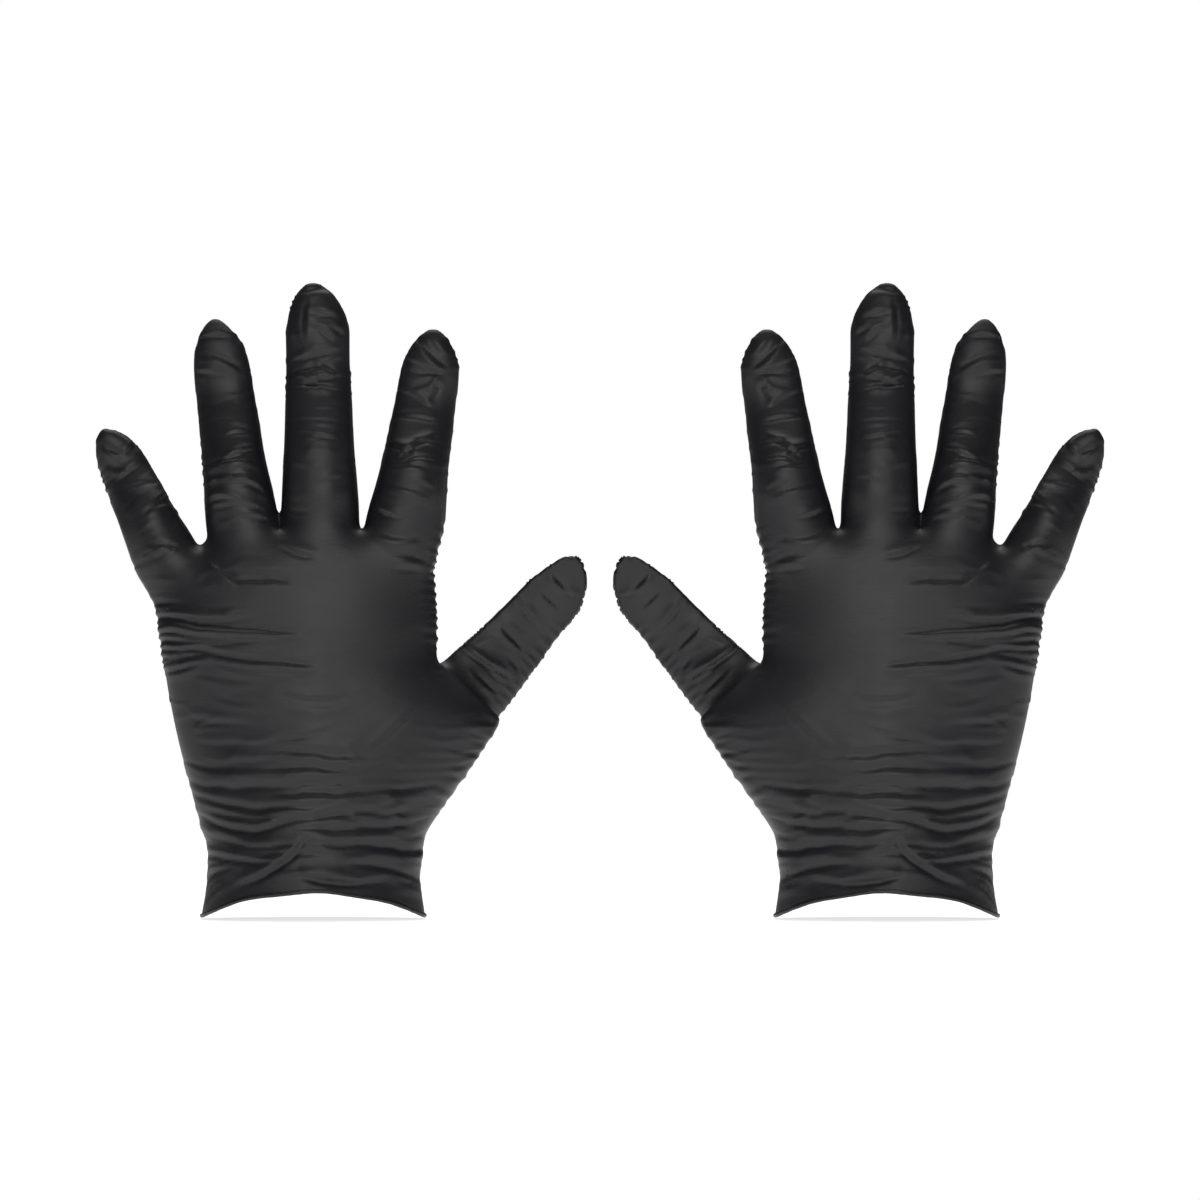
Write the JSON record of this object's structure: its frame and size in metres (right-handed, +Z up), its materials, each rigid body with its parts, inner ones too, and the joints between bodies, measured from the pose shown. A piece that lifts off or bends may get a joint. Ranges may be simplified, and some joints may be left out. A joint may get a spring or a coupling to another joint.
{
  "type": "disposable gloves",
  "caption": "Pair of close-fitting dipped film gloves with rolled cuffs, in the shape they take on open hands; every finger and thumb bends at its knuckles.",
  "frame": {"origin": "on the floor plane under the middle of the pair, halfway between the two cuffs, at the height of the cuffs' lowest points", "axes": "+X from the left-hand glove to the right-hand glove, -Y the way the backs of the hands face, +Y the way the palms face, +Z up, from the cuffs to the fingertips"},
  "size_m": [0.3366, 0.0486, 0.2127],
  "materials": {
    "nitrile_film": "satin",
    "rolled_edge": "satin"
  },
  "bodies": {
    "left_glove": {"left_hand": "nitrile_film", "left_cuff": "nitrile_film", "left_cuff_bead": "rolled_edge"},
    "right_glove": {"right_hand": "nitrile_film", "right_cuff": "nitrile_film", "right_cuff_bead": "rolled_edge"},
    "left_thumb_base": {"left_thumb_base": "nitrile_film"},
    "left_thumb_tip": {"left_thumb_tip": "nitrile_film"},
    "left_index_base": {"left_index_base": "nitrile_film"},
    "left_index_middle": {"left_index_middle": "nitrile_film"},
    "left_index_tip": {"left_index_tip": "nitrile_film"},
    "left_middle_base": {"left_middle_base": "nitrile_film"},
    "left_middle_middle": {"left_middle_middle": "nitrile_film"},
    "left_middle_tip": {"left_middle_tip": "nitrile_film"},
    "left_ring_base": {"left_ring_base": "nitrile_film"},
    "left_ring_middle": {"left_ring_middle": "nitrile_film"},
    "left_ring_tip": {"left_ring_tip": "nitrile_film"},
    "left_little_base": {"left_little_base": "nitrile_film"},
    "left_little_middle": {"left_little_middle": "nitrile_film"},
    "left_little_tip": {"left_little_tip": "nitrile_film"},
    "right_thumb_base": {"right_thumb_base": "nitrile_film"},
    "right_thumb_tip": {"right_thumb_tip": "nitrile_film"},
    "right_index_base": {"right_index_base": "nitrile_film"},
    "right_index_middle": {"right_index_middle": "nitrile_film"},
    "right_index_tip": {"right_index_tip": "nitrile_film"},
    "right_middle_base": {"right_middle_base": "nitrile_film"},
    "right_middle_middle": {"right_middle_middle": "nitrile_film"},
    "right_middle_tip": {"right_middle_tip": "nitrile_film"},
    "right_ring_base": {"right_ring_base": "nitrile_film"},
    "right_ring_middle": {"right_ring_middle": "nitrile_film"},
    "right_ring_tip": {"right_ring_tip": "nitrile_film"},
    "right_little_base": {"right_little_base": "nitrile_film"},
    "right_little_middle": {"right_little_middle": "nitrile_film"},
    "right_little_tip": {"right_little_tip": "nitrile_film"}
  },
  "joints": [
    {"name": "right_glove_apart", "type": "slide", "parent": "left_glove", "child": "right_glove", "axis": [1, 0, 0], "range_m": [0, 0.15]},
    {"name": "left_thumb_root", "type": "hinge", "parent": "left_glove", "child": "left_thumb_base", "pos_m": [-0.04474, 0.01592, 0.07986], "axis": [-0.7332, -0.3419, 0.5878], "range_deg": [0, 45], "stiffness_Nm_per_rad": 0.0012},
    {"name": "left_thumb_knuckle", "type": "hinge", "parent": "left_thumb_base", "child": "left_thumb_tip", "pos_m": [-0.02754, 0.01511, 0.1006], "axis": [-0.7142, -0.333, 0.6157], "range_deg": [0, 60], "stiffness_Nm_per_rad": 0.0012},
    {"name": "left_index_root", "type": "hinge", "parent": "left_glove", "child": "left_index_base", "pos_m": [-0.06645, 0.0105, 0.13036], "axis": [-0.9962, 0, 0.0872], "range_deg": [0, 80], "stiffness_Nm_per_rad": 0.0012},
    {"name": "left_index_knuckle", "type": "hinge", "parent": "left_index_base", "child": "left_index_middle", "pos_m": [-0.06307, 0.00988, 0.15168], "axis": [-0.9877, 0, 0.1564], "range_deg": [0, 90], "stiffness_Nm_per_rad": 0.0012},
    {"name": "left_index_end_knuckle", "type": "hinge", "parent": "left_index_middle", "child": "left_index_tip", "pos_m": [-0.05971, 0.01037, 0.17288], "axis": [-0.9877, 0, 0.1564], "range_deg": [0, 55], "stiffness_Nm_per_rad": 0.0012},
    {"name": "left_middle_root", "type": "hinge", "parent": "left_glove", "child": "left_middle_base", "pos_m": [-0.0933, 0.01075, 0.1315], "axis": [-1, 0, 0], "range_deg": [0, 80], "stiffness_Nm_per_rad": 0.0012},
    {"name": "left_middle_knuckle", "type": "hinge", "parent": "left_middle_base", "child": "left_middle_middle", "pos_m": [-0.09376, 0.01021, 0.15807], "axis": [-0.9998, 0, -0.0174], "range_deg": [0, 90], "stiffness_Nm_per_rad": 0.0012},
    {"name": "left_middle_end_knuckle", "type": "hinge", "parent": "left_middle_middle", "child": "left_middle_tip", "pos_m": [-0.09419, 0.01092, 0.18251], "axis": [-0.9998, 0, -0.0174], "range_deg": [0, 55], "stiffness_Nm_per_rad": 0.0012},
    {"name": "left_ring_root", "type": "hinge", "parent": "left_glove", "child": "left_ring_base", "pos_m": [-0.11927, 0.01025, 0.13065], "axis": [-0.9976, 0, -0.0698], "range_deg": [0, 80], "stiffness_Nm_per_rad": 0.0012},
    {"name": "left_ring_knuckle", "type": "hinge", "parent": "left_ring_base", "child": "left_ring_middle", "pos_m": [-0.12227, 0.00962, 0.15203], "axis": [-0.9903, 0, -0.1392], "range_deg": [0, 90], "stiffness_Nm_per_rad": 0.0012},
    {"name": "left_ring_end_knuckle", "type": "hinge", "parent": "left_ring_middle", "child": "left_ring_tip", "pos_m": [-0.12561, 0.0103, 0.17578], "axis": [-0.9903, 0, -0.1392], "range_deg": [0, 55], "stiffness_Nm_per_rad": 0.0012},
    {"name": "left_little_root", "type": "hinge", "parent": "left_glove", "child": "left_little_base", "pos_m": [-0.14311, 0.00975, 0.12009], "axis": [-0.9703, 0, -0.2419], "range_deg": [0, 80], "stiffness_Nm_per_rad": 0.0012},
    {"name": "left_little_knuckle", "type": "hinge", "parent": "left_little_base", "child": "left_little_middle", "pos_m": [-0.14986, 0.00931, 0.13458], "axis": [-0.9063, 0, -0.4226], "range_deg": [0, 90], "stiffness_Nm_per_rad": 0.0012},
    {"name": "left_little_end_knuckle", "type": "hinge", "parent": "left_little_middle", "child": "left_little_tip", "pos_m": [-0.15623, 0.00962, 0.14823], "axis": [-0.9063, 0, -0.4226], "range_deg": [0, 55], "stiffness_Nm_per_rad": 0.0012},
    {"name": "right_thumb_root", "type": "hinge", "parent": "right_glove", "child": "right_thumb_base", "pos_m": [0.04474, 0.01592, 0.07986], "axis": [-0.7332, 0.3419, -0.5878], "range_deg": [0, 45], "stiffness_Nm_per_rad": 0.0012},
    {"name": "right_thumb_knuckle", "type": "hinge", "parent": "right_thumb_base", "child": "right_thumb_tip", "pos_m": [0.02754, 0.01511, 0.1006], "axis": [-0.7142, 0.333, -0.6157], "range_deg": [0, 60], "stiffness_Nm_per_rad": 0.0012},
    {"name": "right_index_root", "type": "hinge", "parent": "right_glove", "child": "right_index_base", "pos_m": [0.06645, 0.0105, 0.13036], "axis": [-0.9962, 0, -0.0872], "range_deg": [0, 80], "stiffness_Nm_per_rad": 0.0012},
    {"name": "right_index_knuckle", "type": "hinge", "parent": "right_index_base", "child": "right_index_middle", "pos_m": [0.06307, 0.00988, 0.15168], "axis": [-0.9877, 0, -0.1564], "range_deg": [0, 90], "stiffness_Nm_per_rad": 0.0012},
    {"name": "right_index_end_knuckle", "type": "hinge", "parent": "right_index_middle", "child": "right_index_tip", "pos_m": [0.05971, 0.01037, 0.17288], "axis": [-0.9877, 0, -0.1564], "range_deg": [0, 55], "stiffness_Nm_per_rad": 0.0012},
    {"name": "right_middle_root", "type": "hinge", "parent": "right_glove", "child": "right_middle_base", "pos_m": [0.0933, 0.01075, 0.1315], "axis": [-1, 0, 0], "range_deg": [0, 80], "stiffness_Nm_per_rad": 0.0012},
    {"name": "right_middle_knuckle", "type": "hinge", "parent": "right_middle_base", "child": "right_middle_middle", "pos_m": [0.09376, 0.01021, 0.15807], "axis": [-0.9998, 0, 0.0174], "range_deg": [0, 90], "stiffness_Nm_per_rad": 0.0012},
    {"name": "right_middle_end_knuckle", "type": "hinge", "parent": "right_middle_middle", "child": "right_middle_tip", "pos_m": [0.09419, 0.01092, 0.18251], "axis": [-0.9998, 0, 0.0174], "range_deg": [0, 55], "stiffness_Nm_per_rad": 0.0012},
    {"name": "right_ring_root", "type": "hinge", "parent": "right_glove", "child": "right_ring_base", "pos_m": [0.11927, 0.01025, 0.13065], "axis": [-0.9976, 0, 0.0698], "range_deg": [0, 80], "stiffness_Nm_per_rad": 0.0012},
    {"name": "right_ring_knuckle", "type": "hinge", "parent": "right_ring_base", "child": "right_ring_middle", "pos_m": [0.12227, 0.00962, 0.15203], "axis": [-0.9903, 0, 0.1392], "range_deg": [0, 90], "stiffness_Nm_per_rad": 0.0012},
    {"name": "right_ring_end_knuckle", "type": "hinge", "parent": "right_ring_middle", "child": "right_ring_tip", "pos_m": [0.12561, 0.0103, 0.17578], "axis": [-0.9903, 0, 0.1392], "range_deg": [0, 55], "stiffness_Nm_per_rad": 0.0012},
    {"name": "right_little_root", "type": "hinge", "parent": "right_glove", "child": "right_little_base", "pos_m": [0.14311, 0.00975, 0.12009], "axis": [-0.9703, 0, 0.2419], "range_deg": [0, 80], "stiffness_Nm_per_rad": 0.0012},
    {"name": "right_little_knuckle", "type": "hinge", "parent": "right_little_base", "child": "right_little_middle", "pos_m": [0.14986, 0.00931, 0.13458], "axis": [-0.9063, 0, 0.4226], "range_deg": [0, 90], "stiffness_Nm_per_rad": 0.0012},
    {"name": "right_little_end_knuckle", "type": "hinge", "parent": "right_little_middle", "child": "right_little_tip", "pos_m": [0.15623, 0.00962, 0.14823], "axis": [-0.9063, 0, 0.4226], "range_deg": [0, 55], "stiffness_Nm_per_rad": 0.0012}
  ]
}
